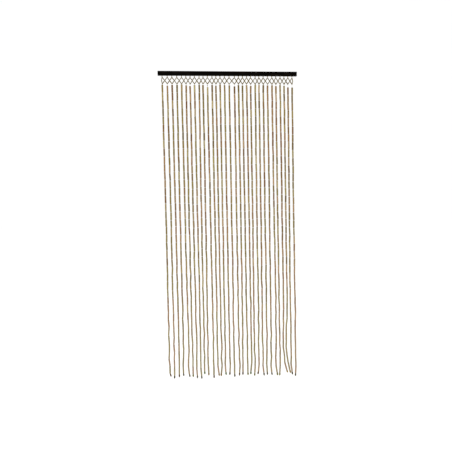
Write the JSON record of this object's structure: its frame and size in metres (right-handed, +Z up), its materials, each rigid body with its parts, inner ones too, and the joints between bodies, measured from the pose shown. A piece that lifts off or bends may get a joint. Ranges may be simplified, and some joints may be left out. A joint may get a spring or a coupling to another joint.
{
  "type": "bamboo door curtain on a hanging rail",
  "caption": "Door curtain of threaded bamboo tubes that hang as loose strings from a narrow net of diamonds under a straight dark wooden rail.",
  "frame": {"origin": "middle of the rail's back face, where it lies against the wall or door frame", "axes": "+Z up, +Y out of the rail's back into the wall, +X along the rail to the right of someone who faces the curtain; the curtain's face looks towards -Y"},
  "size_m": [0.9, 0.018, 2.0114],
  "materials": {
    "dark_wood": "near-black paint, low sheen, faint grain",
    "bamboo": "natural cane in mixed tan, brown and olive tones, satin"
  },
  "bodies": {
    "root": {"rail": "dark_wood", "net_and_strands": "bamboo"}
  },
  "joints": []
}
